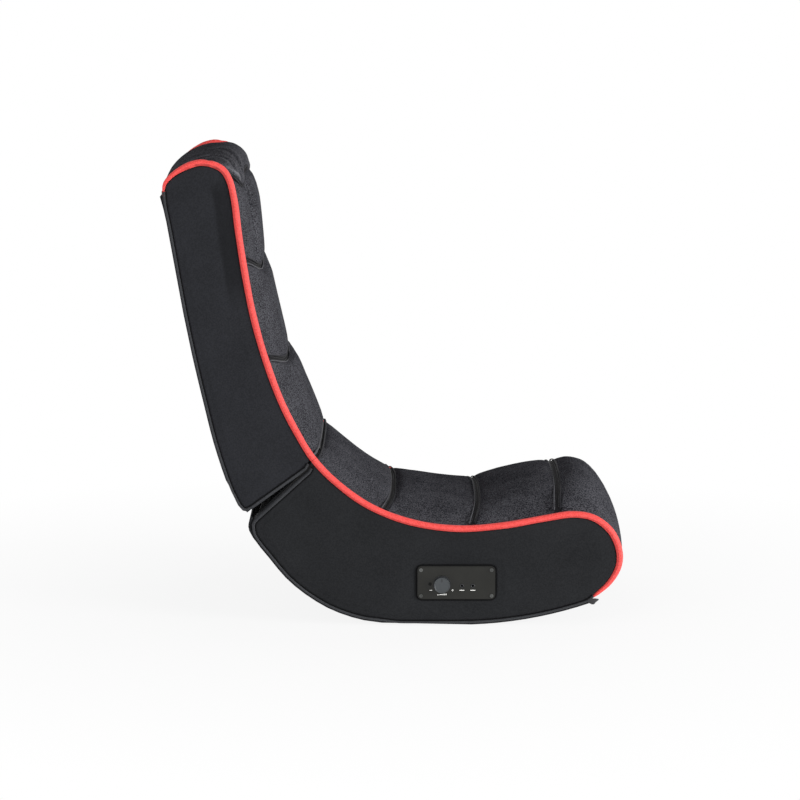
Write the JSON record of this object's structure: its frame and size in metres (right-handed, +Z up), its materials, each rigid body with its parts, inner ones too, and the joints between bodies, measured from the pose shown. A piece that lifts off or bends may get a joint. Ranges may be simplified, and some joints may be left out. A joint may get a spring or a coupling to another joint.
{
  "type": "gaming rocker chair",
  "caption": "Floor rocker chair with a folding padded back, corded edges, a curved rocker base and a side audio panel with a volume knob.",
  "frame": {"origin": "middle of the chair in plan, on the floor plane that the rocker rests on", "axes": "+X forward, from the back towards the nose of the seat; +Y to the sitter's left; +Z up"},
  "size_m": [0.7408, 0.4395, 0.7494],
  "materials": {
    "back_fabric": "matt woven fabric",
    "seat_fabric": "matt woven fabric",
    "back_pad_fabric": "matt padded mesh fabric",
    "seat_pad_fabric": "matt padded mesh fabric",
    "red_piping": "woven cord edging",
    "dark_binding": "woven tape",
    "plywood": "bare plywood",
    "fibreboard": "bare fibreboard",
    "steel": "zinc-plated",
    "sole_fabric": "coarse dark fabric",
    "panel_plastic": "semi-gloss moulded",
    "knob_plastic": "satin moulded",
    "housing_plastic": "matt moulded",
    "circuit_laminate": "green laminate",
    "lamp_lens": "clear lens",
    "speaker_body": "black"
  },
  "bodies": {
    "seat_base": {"seat_side_board_right": "plywood", "seat_side_cover_right": "seat_fabric", "seat_binding_right": "dark_binding", "seat_piping_right": "red_piping", "hinge_seat_leaf_right": "steel", "seat_side_board_left": "plywood", "seat_side_cover_left": "seat_fabric", "seat_binding_left": "dark_binding", "seat_piping_left": "red_piping", "hinge_seat_leaf_left": "steel", "seat_front_rail": "plywood", "seat_middle_rail": "plywood", "seat_fold_rail": "plywood", "seat_deck": "plywood", "rocker_panel": "fibreboard", "rocker_sole": "sole_fabric", "seat_fold_cover": "seat_fabric", "seat_rear_pad": "seat_pad_fabric", "seat_middle_pad": "seat_pad_fabric", "seat_front_pad": "seat_pad_fabric", "nose_pad": "seat_pad_fabric", "control_panel": "panel_plastic", "amplifier_box": "housing_plastic", "circuit_board": "circuit_laminate", "audio_sockets": "housing_plastic", "potentiometer_body": "steel", "power_lamp": "lamp_lens", "panel_screw_1": "steel", "panel_screw_2": "steel", "panel_screw_3": "steel", "panel_screw_4": "steel"},
    "backrest": {"back_side_board_right": "plywood", "back_side_cover_right": "back_fabric", "back_binding_right": "dark_binding", "back_piping_right": "red_piping", "speaker_right": "speaker_body", "hinge_back_leaf_right": "steel", "back_side_board_left": "plywood", "back_side_cover_left": "back_fabric", "back_binding_left": "dark_binding", "back_piping_left": "red_piping", "speaker_left": "speaker_body", "hinge_back_leaf_left": "steel", "back_top_rail": "plywood", "back_middle_rail": "plywood", "back_fold_rail": "plywood", "back_deck": "fibreboard", "back_rear_panel": "fibreboard", "back_rear_cover": "back_fabric", "back_fold_cover": "back_fabric", "top_roll": "back_pad_fabric", "speaker_pod_right": "back_pad_fabric", "speaker_pod_left": "back_pad_fabric", "head_pillow": "back_pad_fabric", "upper_back_pad": "back_pad_fabric", "lumbar_pad": "back_pad_fabric"},
    "volume_knob_body": {"volume_knob": "knob_plastic", "potentiometer_shaft": "steel"}
  },
  "joints": [
    {"name": "backrest_fold", "type": "hinge", "parent": "seat_base", "child": "backrest", "pos_m": [-0.1264, 0, 0.26968], "axis": [0, 1, 0], "range_deg": [0, 100], "deforming": ["lumbar_pad", "seat_rear_pad"]},
    {"name": "volume_turn", "type": "hinge", "parent": "seat_base", "child": "volume_knob_body", "pos_m": [0.0707, -0.22, 0.0664], "axis": [0, 1, 0], "range_deg": [-150, 150]}
  ]
}
